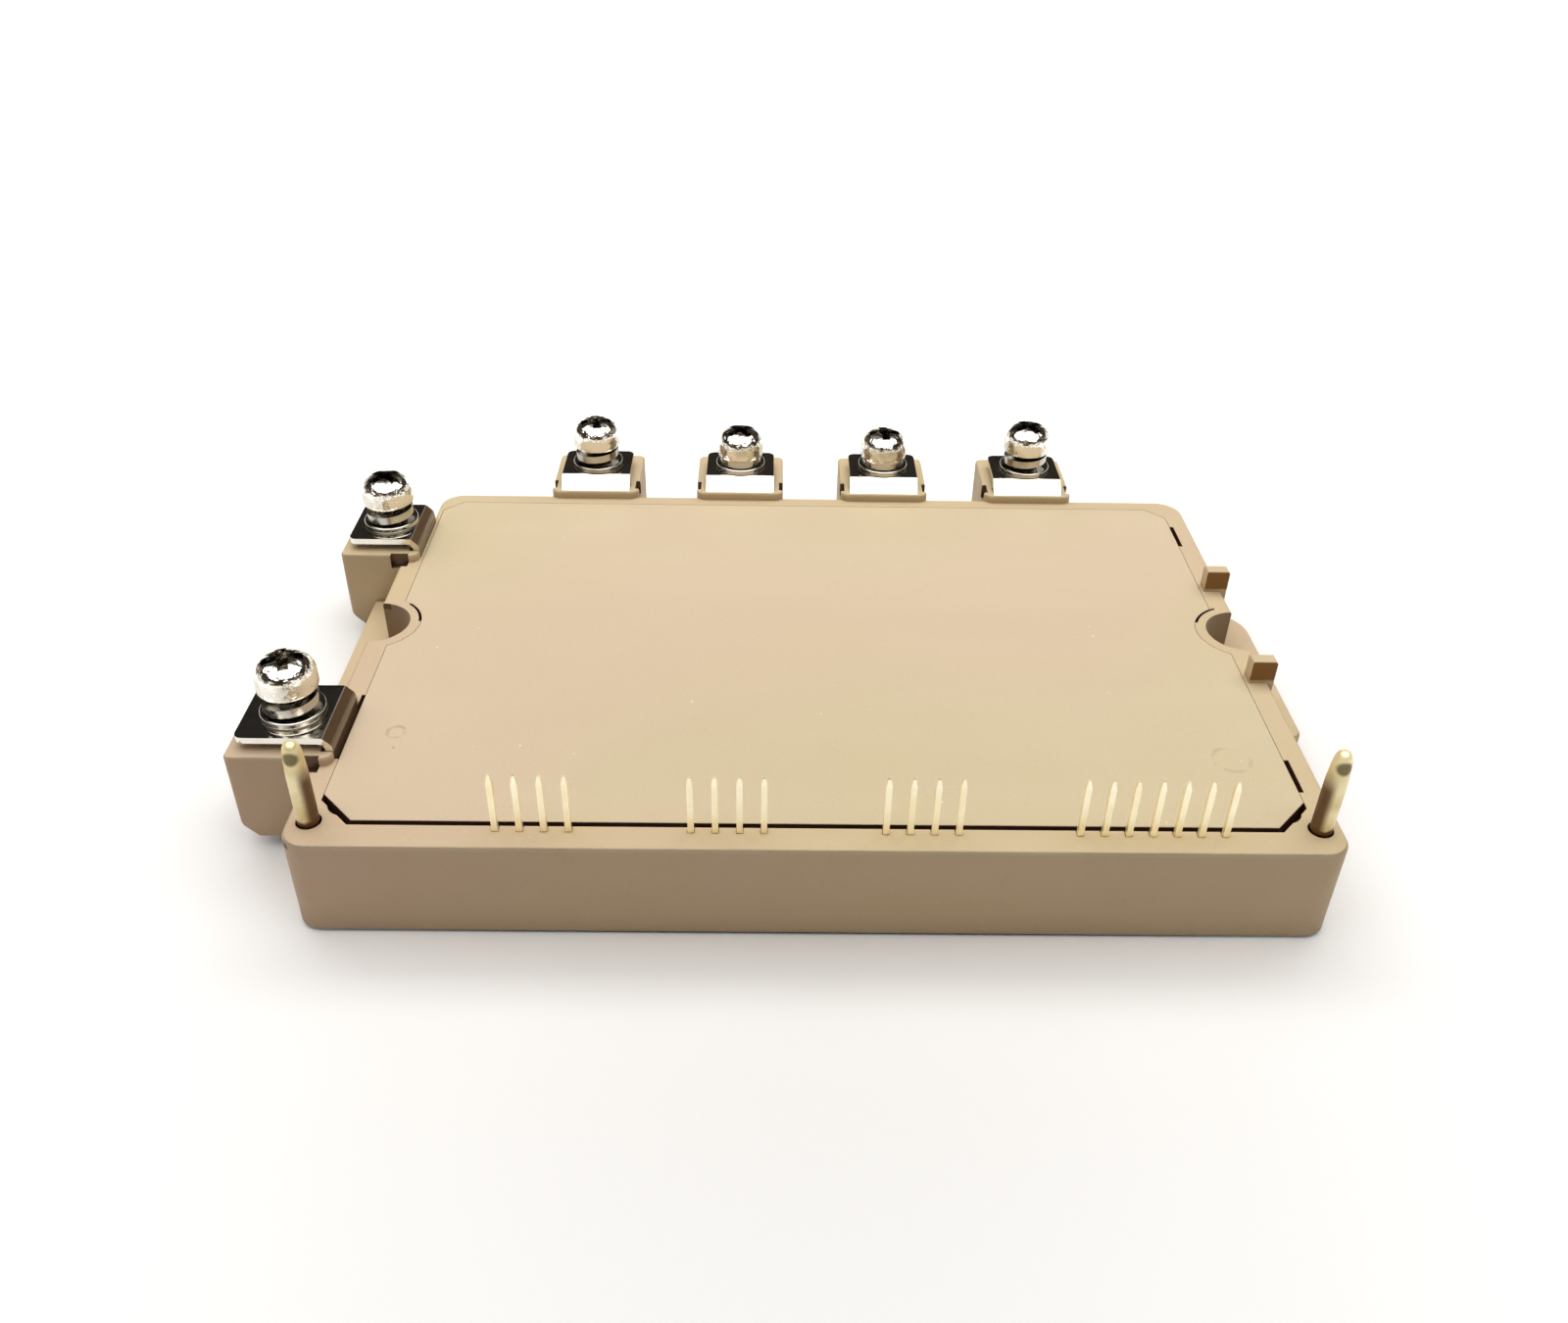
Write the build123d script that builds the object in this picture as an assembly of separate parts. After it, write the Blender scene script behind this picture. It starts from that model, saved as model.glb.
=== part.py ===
from build123d import *
from collections import namedtuple
from math import sqrt
import os

# Power module with a moulded case: millimetres, +Z up, origin at the centre of the
# heat-sink face, X along the long side, the row of control pins at the front (-Y).

# Case moulding
body_length = 111.0
body_depth = 76.8
case_height = 11.6
front_corner_radius = 2.8
rear_right_corner_radius = 3.4
rear_left_corner_radius = 3.2
rear_left_step = 2.0
edge_radius = 0.4
side_wall = 3.6
front_wall = 5.0
cavity_corner_radius = 2.0

# Heat-sink plate
plate_thickness = 3.0
plate_proud = 0.4
plate_inset = 2.8
plate_ear_inset = 2.0
plate_corner_radius = 2.2
plate_clearance = 0.1

# Mounting ears, their screw pockets and holes
mount_from_front = 42.0
mount_hole_radius = 2.25
pocket_radius = 4.5
pocket_wall = 1.35
pocket_root = 2.7
ear_reach = 4.9
left_ear_reach = 4.3
ear_length = 28.5
ear_height = 5.4
ear_rear_radius = 5.0
ear_front_radius = 1.6

# Locating posts on the right-hand rim
post_height_above_case = 3.0
post_overhang = 0.6
post_length = 3.0
post_thickness = 1.9
post_offset = 10.5

# Lid
lid_thickness = 2.0
lid_side_margin = 2.8
lid_front_margin = 4.3
lid_rear_margin = 2.4
lid_corner_run = 3.9
lid_corner_rise = 4.15
lid_rear_chamfer = 2.5
lid_edge_chamfer = 0.05
lid_seam = 0.03
lid_front_gap = 0.7
lid_gap_shift = 0.41
seam_slot_width = 0.55
seam_slot_length = 5.6
seam_slot_front_start = 10.1
seam_slot_rear_start = 63.7
arc_slot_width = 0.32
arc_slot_sweep = 48.0
arc_slot_left_start = 4.0
arc_slot_right_start = 20.0
left_seam_overrun = 2.0

# Terminal blocks, in line with the straps that they carry
rear_terminal_left_margin = 24.4
rear_terminal_right_margin = 22.4
rear_block_inset = 0.8
rear_block_length = 12.4
positive_from_front = 19.4
negative_from_front = 63.3
left_block_inset = 2.35
positive_block_length = 11.85
negative_block_length = 10.5
block_width = 12.8
block_rise = 1.05
block_underside = 1.8
block_foot_chamfer = 2.0
block_corner_radius = 0.8
block_root_radius = 1.2
block_edge_radius = 0.25
block_notch_start = 1.3
block_notch_length = 2.4
block_notch_depth = 0.6
block_notch_drop = 2.0

# Terminal straps
strap_thickness = 0.8
strap_width = 10.0
strap_bend_radius = 0.6
strap_corner_radius = 1.0
rear_strap_setback = 0.6
rear_strap_slant = 1.9
rear_strap_end_margin = 2.2
left_strap_slant = 1.0
left_strap_end_margin = 1.1
tab_top_above_case = 2.8
tab_hole_radius = 2.25
foot_width = 5.5
foot_bend_radius = 0.6
foot_lap = 1.0
insert_clearance = 0.05

# Terminal screws, washers and nuts, M4
screw_radius = 1.95
screw_length = 10.0
head_radius = 3.4
head_height = 3.8
head_dome_radius = 2.2
recess_width = 1.15
recess_length = 4.5
recess_depth = 2.0
recess_taper = 12.0
screw_tip_chamfer = 0.5
flat_washer_radius = 3.65
flat_washer_bore = 2.15
flat_washer_thickness = 0.8
spring_washer_radius = 3.15
spring_washer_bore = 2.1
spring_washer_thickness = 1.1
spring_washer_turn = 345.0
nut_across_flats = 7.0
nut_thickness = 3.2
nut_bore_radius = 2.0
nut_chamfer = 0.4
nut_sink = 0.4
nut_clearance = 0.1
relief_bore_radius = 2.5
relief_bore_depth = 4.5
rear_screw_reach = 6.0
positive_screw_reach = 5.4
negative_screw_reach = 4.6

# Control pins
pin_pitch = 2.54
pin_size = 0.64
pin_height = 7.24
pin_from_front = 3.06
first_pin_from_centre = 33.5
pin_tip_length = 0.9
pin_tip_inset = 0.18
pin_bend_radius = 0.3
pin_foot_reach = 4.0
pin_well_depth = 1.4

# Guide pins
guide_pin_from_side = 2.4
guide_pin_from_front = 4.1
guide_pin_radius = 1.15
guide_pin_root_radius = 0.85
guide_pin_tip_radius = 0.6
guide_pin_neck_radius = 1.0
guide_pin_height = 10.6
guide_pin_tip_length = 1.1
guide_pin_taper_length = 3.2
guide_pin_depth = 8.0
guide_well_radius = 1.35
guide_well_depth = 1.5
press_clearance = 0.01

# Inner circuit
copper_thickness = 0.3
ceramic_thickness = 0.63
column_width = 9.4
columns_per_tile = 4
tile_margin = 0.3
tile_from_front = 18.0
tile_from_rear = 12.8
island_margin = 1.0
bus_width = 11.0
island_gap = 1.0
chip_thickness = 0.3
igbt_size = 8.0
igbt_from_bus = 8.0
diode_width = 8.0
diode_length = 6.0
diode_from_bus = 20.0
pair_count = 7
wire_radius = 0.18
wire_pitch = 1.8
wires_per_joint = 3
wire_loop = 0.9
wire_bend_radius = 0.7

# Control board
board_thickness = 1.0
board_standoff = 2.8
board_from_side = 9.0
board_from_front = 5.2
board_from_rear = 11.6
driver_length = 10.0
driver_width = 7.4
driver_height = 1.8
driver_from_front = 14.0
lead_count = 8
lead_pitch = 1.27
lead_width = 0.4
lead_reach = 1.2
lead_thickness = 0.25
driver_body_gap = 0.1

# Gel
gel_cover = 0.45
gel_clearance = 0.1

# Faces and levels that follow from the sizes
front_face = -body_depth / 2
rear_face = body_depth / 2
side_face = body_length / 2
case_bottom = plate_proud
case_top = case_bottom + case_height
ear_top = case_bottom + ear_height
ledge_top = case_top - lid_thickness
block_top = case_top + block_rise
tab_top = case_top + tab_top_above_case
tab_underside = tab_top - strap_thickness
circuit_top = plate_thickness + 2 * copper_thickness + ceramic_thickness
mount_x = side_face
mount_y = front_face + mount_from_front
guide_pin_x = side_face - guide_pin_from_side
lid_side = side_face - lid_side_margin
lid_front = front_face + lid_front_margin
lid_rear = rear_face - lid_rear_margin
lid_arc_radius = pocket_radius + pocket_wall + lid_seam
board_bottom = circuit_top + board_standoff
pin_foot_bottom = board_bottom - pin_size
pin_y = front_face + pin_from_front
guide_pin_y = front_face + guide_pin_from_front
rear_terminal_y = rear_face - rear_block_inset
left_terminal_x = -side_face + left_block_inset
nut_top = block_top - nut_sink
nut_bottom = nut_top - nut_thickness
gel_top = pin_foot_bottom - gel_clearance
rear_terminal_span = body_length - rear_terminal_left_margin - rear_terminal_right_margin
rear_terminal_pitch = rear_terminal_span / 3
column_pitch = rear_terminal_pitch / 2
first_column_x = -side_face + rear_terminal_left_margin - column_pitch
tile_front = front_face + tile_from_front
tile_rear = rear_face - tile_from_rear
bus_rear = tile_rear - island_margin
bus_front = bus_rear - bus_width
rear_foot_length = rear_terminal_y - bus_rear + foot_lap
left_foot_length = first_column_x - column_width / 2 - left_terminal_x + foot_lap

# Terminals: the place of the block's inner face, the direction in degrees that the
# block points, the strap's shape and how far the loose screw stands above its seat
Terminal = namedtuple("Terminal", "name x y direction block_length foot_length setback slant "
                      "end_margin screw_reach screw_lift")
terminals = [
    Terminal("positive", left_terminal_x, front_face + positive_from_front, 180,
             positive_block_length, left_foot_length, 0, left_strap_slant,
             left_strap_end_margin, positive_screw_reach, 1.6),
    Terminal("negative", left_terminal_x, front_face + negative_from_front, 180,
             negative_block_length, left_foot_length, 0, left_strap_slant,
             left_strap_end_margin, negative_screw_reach, 1.4),
]
rear_screw_lifts = {"brake": 1.3, "phase_u": 0.1, "phase_v": 0.0, "phase_w": 1.3}
for index, (name, lift) in enumerate(rear_screw_lifts.items()):
    terminal_x = -side_face + rear_terminal_left_margin + index * rear_terminal_pitch
    terminals.append(Terminal(name, terminal_x, rear_terminal_y, 90,
                              rear_block_length, rear_foot_length, rear_strap_setback,
                              rear_strap_slant, rear_strap_end_margin, rear_screw_reach, lift))
positive = terminals[0]
negative = terminals[1]

# Control pin groups: name, first place and number of pins
pin_groups = [("phase_u", 0, 4), ("phase_v", 8, 4), ("phase_w", 16, 4), ("lower_side", 24, 7)]


def block_box(x0, x1, y0, y1, z0, z1):
    """Box between two corners."""
    return Pos((x0 + x1) / 2, (y0 + y1) / 2, (z0 + z1) / 2) * Box(x1 - x0, y1 - y0, z1 - z0)


def rod(x, y, z0, z1, radius):
    """Upright cylinder."""
    return Pos(x, y, (z0 + z1) / 2) * Cylinder(radius, z1 - z0)


def raised(outline, z0, z1):
    """Outline extruded from one level to another."""
    return Pos(0, 0, z0) * extrude(outline, z1 - z0)


def at_terminal(terminal, shape):
    """Shape from a terminal's own frame, where +X points out of the case."""
    return Pos(terminal.x, terminal.y, 0) * Rot(0, 0, terminal.direction) * shape


def at_screw(terminal, shape):
    """Shape that is centred on a terminal's screw."""
    return at_terminal(terminal, Pos(terminal.screw_reach, 0, 0) * shape)


def body_outline():
    """Plan of the case without ears and blocks, set in behind the rear left-hand block."""
    outline = Rectangle(body_length, body_depth)
    step_length = rear_face - negative.y
    outline -= Pos(-side_face + rear_left_step / 2, negative.y + step_length / 2) * Rectangle(
        rear_left_step, step_length)
    outline = fillet(outline.vertices().group_by(Axis.Y)[0], front_corner_radius)
    rear_left = outline.vertices().group_by(Axis.Y)[-1].sort_by(Axis.X)[0]
    outline = fillet(rear_left, rear_left_corner_radius)
    rear_right = outline.vertices().group_by(Axis.Y)[-1].sort_by(Axis.X)[-1]
    return fillet(rear_right, rear_right_corner_radius)


def right_ear():
    """Free ear on the right, rounded more at its rear corner."""
    reach = side_face + ear_reach
    outline = Pos((mount_x + reach) / 2 - pocket_root, mount_y) * Rectangle(
        reach - mount_x + 2 * pocket_root, ear_length)
    outer = outline.vertices().group_by(Axis.X)[-1].sort_by(Axis.Y)
    outline = fillet(outer[-1], ear_rear_radius)
    outer = outline.vertices().group_by(Axis.X)[-1].sort_by(Axis.Y)
    outline = fillet(outer[0], ear_front_radius)
    ear = raised(outline, case_bottom, ear_top)
    return fillet(ear.faces().sort_by(Axis.Z)[-1].edges().group_by(Axis.X)[-1], edge_radius)


def left_ear():
    """Ear that runs from one left-hand block to the other."""
    overlap = block_width / 2 - block_corner_radius
    return block_box(-side_face - left_ear_reach, -side_face + pocket_root,
                     positive.y + overlap, negative.y - overlap, case_bottom, ear_top)


def terminal_block(length):
    """Solid block under a terminal, in the terminal's own frame."""
    block = block_box(0, length, -block_width / 2, block_width / 2,
                      block_underside, block_top)
    block = fillet(block.edges().filter_by(Axis.Z).group_by(Axis.X)[-1], block_corner_radius)
    block = fillet(block.edges().filter_by(Axis.Z).group_by(Axis.X)[0], block_root_radius)
    block = fillet(block.faces().sort_by(Axis.Z)[-1].edges(), block_edge_radius)
    foot = Plane.XZ * Pos(length, block_underside) * Rot(0, 0, 45) * Rectangle(
        block_foot_chamfer * sqrt(2), block_foot_chamfer * sqrt(2))
    return block - extrude(foot, block_width, both=True)


def block_cuts(terminal):
    """Room for a strap in the block and the wall, in the terminal's own frame."""
    fit = insert_clearance
    setback = terminal.setback
    strap_back = setback + strap_thickness
    bend = terminal.slant + strap_thickness / 2
    half = strap_width / 2 + fit
    channel = block_box(setback - fit, strap_back + fit, -half, half,
                        circuit_top - fit, block_top + bend)
    relief = block_box(strap_back, setback + bend, -half, half, case_top, block_top + bend)
    foot_slot = block_box(-terminal.foot_length - fit, strap_back + fit, -foot_width / 2 - fit,
                          foot_width / 2 + fit, circuit_top - fit,
                          circuit_top + strap_thickness + fit)
    foot_slot += block_box(setback - foot_bend_radius - fit, setback,
                           -foot_width / 2 - fit, foot_width / 2 + fit, circuit_top,
                           circuit_top + strap_thickness + foot_bend_radius + fit)
    cuts = channel + relief + foot_slot
    outer = block_width / 2
    for side in (-1, 1):
        y0, y1 = sorted((side * (outer - block_notch_depth), side * (outer + 1)))
        cuts += block_box(block_notch_start, block_notch_start + block_notch_length, y0, y1,
                          block_top - block_notch_drop, block_top + bend)
    return cuts


def nut_cuts():
    """Pocket for the nut and the bore for the screw's end, centred on the screw."""
    pocket = raised(nut_outline(nut_clearance), nut_bottom, block_top + 1)
    return pocket + rod(0, 0, nut_bottom - relief_bore_depth, nut_top, relief_bore_radius)


def nut_outline(clearance):
    """Square nut or its pocket, seen from above."""
    size = nut_across_flats + 2 * clearance
    return fillet(Rectangle(size, size).vertices(), nut_chamfer)


def plate_outline(clearance):
    """Heat-sink plate with its two ears, or the recess that takes it."""
    inset = plate_inset - clearance
    plate = Rectangle(body_length - 2 * inset, body_depth - 2 * inset)
    plate = fillet(plate.vertices(), plate_corner_radius)
    ear_inset = plate_ear_inset - clearance
    ears = Pos(0, mount_y) * Rectangle(body_length + 2 * (ear_reach - ear_inset),
                                       ear_length - 2 * ear_inset)
    return plate + fillet(ears.vertices(), plate_corner_radius)


def lid_outline(side_gap, front_gap):
    """Plan of the lid, or of the recess that leaves these gaps around it."""
    side = lid_side + side_gap
    front = lid_front - front_gap
    rear = lid_rear + side_gap
    corner_run = lid_corner_run + side_gap - front_gap * lid_gap_shift
    corner_rise = lid_corner_rise - front_gap * lid_gap_shift
    points = [(-side + corner_run, front), (side - corner_run, front),
              (side, front + corner_rise), (side, rear - lid_rear_chamfer),
              (side - lid_rear_chamfer, rear), (-side + lid_rear_chamfer, rear),
              (-side, rear - lid_rear_chamfer), (-side, front + corner_rise)]
    outline = make_face(Polyline(points, close=True))
    for side_sign in (-1, 1):
        outline -= Pos(side_sign * mount_x, mount_y) * Circle(lid_arc_radius - side_gap)
    return outline


def cavity_outline(clearance):
    """Plan of the hollow inside the case, clear of the two screw pockets."""
    left = -side_face + side_wall + clearance
    front = front_face + front_wall + clearance
    rear = rear_face - side_wall - clearance
    outline = Pos(0, (front + rear) / 2) * Rectangle(-2 * left, rear - front)
    outline = fillet(outline.vertices(), cavity_corner_radius)
    for side_sign in (-1, 1):
        ring = Circle(pocket_radius + pocket_root + clearance)
        outline -= Pos(side_sign * mount_x, mount_y) * ring
    return outline


def arc_slot(side_sign, start):
    """Curved slit between the lid and the wall of a screw pocket."""
    outer = lid_arc_radius - lid_seam + 0.01
    ring = Circle(outer) - Circle(outer - arc_slot_width)
    reach = 2 * outer
    wedge_start = Rot(0, 0, start) * Pos(reach / 2, reach / 2) * Rectangle(reach, reach)
    wedge_end = Rot(0, 0, start + arc_slot_sweep - 90) * Pos(reach / 2, reach / 2) * Rectangle(
        reach, reach)
    slot = extrude(ring & wedge_start & wedge_end, lid_thickness)
    if side_sign > 0:
        slot = mirror(slot, Plane.YZ)
    return Pos(side_sign * mount_x, mount_y, ledge_top) * slot


def seam_slots():
    """Wider stretches of the seam around the lid."""
    edge = lid_side + lid_seam - 0.01
    slots = []
    for start in (seam_slot_front_start, seam_slot_rear_start):
        slots.append(block_box(edge, edge + seam_slot_width, front_face + start,
                               front_face + start + seam_slot_length, ledge_top, case_top + 1))
    half = strap_width / 2
    slots.append(block_box(left_terminal_x, -edge, positive.y - half,
                           positive.y + half + left_seam_overrun, ledge_top, case_top + 1))
    slots.append(arc_slot(-1, arc_slot_left_start))
    slots.append(arc_slot(1, arc_slot_right_start))
    return slots


def pin_places():
    """Place of every control pin along X, group by group."""
    places = {}
    for name, first, count in pin_groups:
        places[name] = [pin_pitch * (first + step) - first_pin_from_centre
                        for step in range(count)]
    return places


def pin_cuts(x):
    """Channel and well of one control pin in the front wall."""
    half = pin_size / 2 + insert_clearance
    channel = block_box(x - half, x + half, pin_y - half, pin_y + half,
                        pin_foot_bottom - insert_clearance, case_top)
    foot = block_box(x - half, x + half, pin_y - half, front_face + front_wall + 1,
                     pin_foot_bottom - insert_clearance, board_bottom + insert_clearance)
    well = block_box(x - half, x + half, pin_y - half, lid_front,
                     case_top - pin_well_depth, case_top + 1)
    return channel + foot + well


def post(y):
    """Locating post that stands on the right-hand ear beside the lid."""
    outer = side_face + post_overhang
    shape = block_box(outer - post_length, outer, y - post_thickness / 2,
                      y + post_thickness / 2, ear_top - 1, case_top + post_height_above_case)
    return fillet(shape.faces().sort_by(Axis.Z)[-1].edges(), block_edge_radius)


def case_frame():
    """The whole moulding: walls, ears, terminal blocks and posts."""
    case = raised(body_outline(), case_bottom, case_top)
    case = fillet(case.faces().sort_by(Axis.Z)[-1].edges(), edge_radius)
    case += right_ear()
    case += left_ear()
    for terminal in terminals:
        case += at_terminal(terminal, terminal_block(terminal.block_length))
    for side in (-1, 1):
        case += post(mount_y + side * post_offset)
    case -= raised(plate_outline(plate_clearance), case_bottom - 1, plate_thickness)
    case -= raised(cavity_outline(0), plate_thickness - 1, case_top)
    case -= raised(lid_outline(lid_seam, lid_front_gap), ledge_top, case_top + block_rise)
    for side in (-1, 1):
        case -= rod(side * mount_x, mount_y, ear_top, case_top + 1, pocket_radius)
        case -= rod(side * mount_x, mount_y, case_bottom - 1, ear_top + 1, mount_hole_radius)
        case -= rod(side * guide_pin_x, guide_pin_y, case_top - guide_well_depth,
                    case_top + 1, guide_well_radius)
        case -= rod(side * guide_pin_x, guide_pin_y, case_top - guide_pin_depth, case_top,
                    guide_pin_root_radius + press_clearance)
    for slot in seam_slots():
        case -= slot
    for places in pin_places().values():
        for x in places:
            case -= pin_cuts(x)
    for terminal in terminals:
        case -= at_terminal(terminal, block_cuts(terminal))
        case -= at_screw(terminal, nut_cuts())
    return case


def lid():
    """Flat cover that lies on the ledge, flush with the rim."""
    cover = raised(lid_outline(0, 0), ledge_top, case_top)
    return chamfer(cover.faces().sort_by(Axis.Z)[-1].edges(), lid_edge_chamfer)


def heat_sink_plate():
    """Plated copper base with the two mounting holes."""
    plate = raised(plate_outline(0), 0, plate_thickness)
    for side in (-1, 1):
        plate -= rod(side * mount_x, mount_y, -1, plate_thickness + 1, mount_hole_radius)
    return plate


def strap(terminal):
    """Terminal strap: tab on top, slant, upright in the block, foot on the circuit."""
    front = terminal.setback
    back = front + strap_thickness
    slant = terminal.slant
    end = terminal.block_length - terminal.end_margin
    base = circuit_top
    slant_shift = strap_thickness * (sqrt(2) - 1)
    knee = base + strap_thickness + foot_bend_radius
    upper = Polyline([(front, knee), (back, knee), (back, tab_top - slant - slant_shift),
                      (front + slant + slant_shift, tab_underside), (end, tab_underside),
                      (end, tab_top), (front + slant, tab_top), (front, tab_top - slant)],
                     close=True)
    upper = make_face(Plane.XZ * upper)
    bend_place = Vector(front, 0, tab_top)
    bends = upper.vertices().sort_by_distance(bend_place)
    upper = fillet(bends[0:4], strap_bend_radius)
    upper = extrude(upper, strap_width / 2, both=True)
    tab_corners = upper.edges().filter_by(Axis.Z).group_by(Axis.X)[-1]
    upper = fillet(tab_corners, strap_corner_radius)
    foot_end = -terminal.foot_length
    lower = Polyline([(foot_end, base), (back, base), (back, knee + 1), (front, knee + 1),
                      (front, base + strap_thickness), (foot_end, base + strap_thickness)],
                     close=True)
    lower = make_face(Plane.XZ * lower)
    outer_corner = lower.vertices().sort_by_distance(Vector(back, 0, base))[0]
    lower = fillet(outer_corner, foot_bend_radius + strap_thickness)
    inner = Vector(front, 0, base + strap_thickness)
    lower = fillet(lower.vertices().sort_by_distance(inner)[0], foot_bend_radius)
    lower = extrude(lower, foot_width / 2, both=True)
    hole = rod(terminal.screw_reach, 0, tab_underside - 1, tab_top + 1, tab_hole_radius)
    return upper + lower - hole


def head_underside(lift):
    """Height of a screw head's bearing face."""
    return tab_top + flat_washer_thickness + spring_washer_thickness + lift


def terminal_screw(lift):
    """Pan-head screw with a cross recess; its thread is drawn as a plain shank."""
    seat = head_underside(lift)
    head = rod(0, 0, seat, seat + head_height, head_radius)
    head = fillet(head.edges().group_by(Axis.Z)[-1], head_dome_radius)
    shank = rod(0, 0, seat - screw_length, seat, screw_radius)
    shank = chamfer(shank.edges().group_by(Axis.Z)[0], screw_tip_chamfer)
    screw = head + shank
    for turn in (0, 90):
        slot = extrude(Rectangle(recess_length, recess_width), recess_depth, taper=recess_taper)
        screw -= Pos(0, 0, seat + head_height) * Rot(180, 0, turn) * slot
    return screw


def flat_washer():
    """Plain washer that lies on the tab."""
    ring = rod(0, 0, tab_top, tab_top + flat_washer_thickness, flat_washer_radius)
    ring -= rod(0, 0, tab_top - 1, tab_top + 2, flat_washer_bore)
    return fillet(ring.edges().filter_by(GeomType.CIRCLE).group_by(SortBy.RADIUS)[-1], 0.2)


def spring_washer(lift):
    """Split washer, opened by as much as the screw stands off."""
    middle = (spring_washer_radius + spring_washer_bore) / 2
    width = spring_washer_radius - spring_washer_bore
    rise = max(lift, 0.02)
    base = tab_top + flat_washer_thickness + spring_washer_thickness / 2
    pitch = rise * 360 / spring_washer_turn
    path = Pos(0, 0, base) * Helix(pitch, rise, middle)
    start = path @ 0
    section = Plane(origin=start, x_dir=(1, 0, 0), z_dir=(0, 1, 0)) * Rectangle(
        width, spring_washer_thickness - 0.04)
    return sweep(section, path=path, is_frenet=True)


def terminal_nut():
    """Square nut that is trapped in the block."""
    nut = raised(nut_outline(0), nut_bottom, nut_top)
    return nut - rod(0, 0, nut_bottom - 1, nut_top + 1, nut_bore_radius)


def control_pin(x):
    """Square pin with a blunt point, bent at its foot under the control board."""
    half = pin_size / 2
    top = case_top + pin_height - pin_tip_length
    foot_end = front_face + front_wall + pin_foot_reach
    points = [(pin_y - half, pin_foot_bottom), (foot_end, pin_foot_bottom),
              (foot_end, board_bottom), (pin_y + half, board_bottom), (pin_y + half, top),
              (pin_y - half, top)]
    profile = make_face(Plane.YZ * Polyline(points, close=True))
    knee = Vector(0, pin_y - half, pin_foot_bottom)
    profile = fillet(profile.vertices().sort_by_distance(knee)[0], pin_bend_radius + half)
    pin = Pos(x, 0, 0) * extrude(profile, half, both=True)
    small = pin_size - 2 * pin_tip_inset
    tip = loft([Pos(x, pin_y, top) * Rectangle(pin_size, pin_size),
                Pos(x, pin_y, top + pin_tip_length) * Rectangle(small, small)])
    return pin + tip


def guide_pin(side):
    """Round guide pin with a tapered end, pressed into the corner of the case."""
    foot = case_top - guide_pin_depth
    top = case_top + guide_pin_height
    cone = top - guide_pin_tip_length
    neck = cone - guide_pin_taper_length
    points = [(0, foot), (guide_pin_root_radius, foot), (guide_pin_root_radius, case_top),
              (guide_pin_radius, case_top), (guide_pin_radius, neck),
              (guide_pin_neck_radius, cone), (guide_pin_tip_radius, top), (0, top)]
    profile = make_face(Plane.XZ * Polyline(points, close=True))
    return Pos(side * guide_pin_x, guide_pin_y, 0) * revolve(profile, Axis.Z)


tile_length = (columns_per_tile - 1) * column_pitch + column_width + 2 * tile_margin
tile_names = ["left", "right"]


def column_x(column):
    """Centre of one column of the circuit, counted from the left."""
    return first_column_x + column * column_pitch


def tile_centre(tile):
    """Centre of a tile along X."""
    first = tile * columns_per_tile
    return (column_x(first) + column_x(first + columns_per_tile - 1)) / 2


def tile_slab(tile, margin, z0, z1):
    """Rectangular layer of a tile."""
    centre = tile_centre(tile)
    half = tile_length / 2 - margin
    return block_box(centre - half, centre + half, tile_front + margin, tile_rear - margin, z0, z1)


def circuit_islands(tile):
    """Copper islands on top of a tile: one for the chips and one bus pad in each column."""
    bottom = circuit_top - copper_thickness
    islands = []
    for step in range(columns_per_tile):
        centre = column_x(tile * columns_per_tile + step)
        x0 = centre - column_width / 2
        x1 = centre + column_width / 2
        islands.append(block_box(x0, x1, tile_front + island_margin, bus_front - island_gap,
                                 bottom, circuit_top))
        islands.append(block_box(x0, x1, bus_front, bus_rear, bottom, circuit_top))
    return Compound(children=islands)


def chip(column, from_bus, width, length):
    """Silicon chip on its island."""
    x = column_x(column)
    y = bus_front - from_bus
    return block_box(x - width / 2, x + width / 2, y - length / 2, y + length / 2,
                     circuit_top, circuit_top + chip_thickness)


def bond_wire(x, y0, z0, y1, z1):
    """Aluminium wire that loops from one pad to the next."""
    level = max(z0, z1) + wire_loop
    start = (x, y0, z0 + wire_radius)
    end = (x, y1, z1 + wire_radius)
    run = (y1 - y0) / 4
    path = FilletPolyline(start, (x, y0 + run, level), (x, y1 - run, level), end,
                          radius=wire_bend_radius)
    direction = path % 0
    section = Plane(origin=start, z_dir=direction) * Circle(wire_radius)
    return sweep(section, path=path)


def bond_wires(tile):
    """All wires of the chips on one tile."""
    chip_top = circuit_top + chip_thickness
    igbt_y = bus_front - igbt_from_bus
    diode_y = bus_front - diode_from_bus
    bus_y = bus_front + island_margin
    wires = []
    for step in range(columns_per_tile):
        column = tile * columns_per_tile + step
        if column >= pair_count:
            break
        for wire in range(wires_per_joint):
            x = column_x(column) + (wire - (wires_per_joint - 1) / 2) * wire_pitch
            lift = wire_radius * 0.2
            wires.append(bond_wire(x, diode_y, chip_top + lift, igbt_y - 1, chip_top + lift))
            wires.append(bond_wire(x, igbt_y + 1, chip_top + lift, bus_y, circuit_top + lift))
    return Compound(children=wires)


def control_board():
    """Printed board that rests on the feet of the control pins."""
    board_side = side_face - board_from_side
    return block_box(-board_side, board_side, front_face + board_from_front,
                     rear_face - board_from_rear, board_bottom, board_bottom + board_thickness)


def driver_chip(x):
    """Gate driver in its moulded package with two rows of leads."""
    y = front_face + driver_from_front
    base = board_bottom + board_thickness
    half = driver_width / 2
    body = block_box(x - driver_length / 2, x + driver_length / 2, y - half, y + half,
                     base + driver_body_gap, base + driver_height)
    for step in range(lead_count):
        lead_x = x + (step - (lead_count - 1) / 2) * lead_pitch
        body += block_box(lead_x - lead_width / 2, lead_x + lead_width / 2,
                          y - half - lead_reach, y + half + lead_reach,
                          base, base + lead_thickness)
    return body


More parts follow.
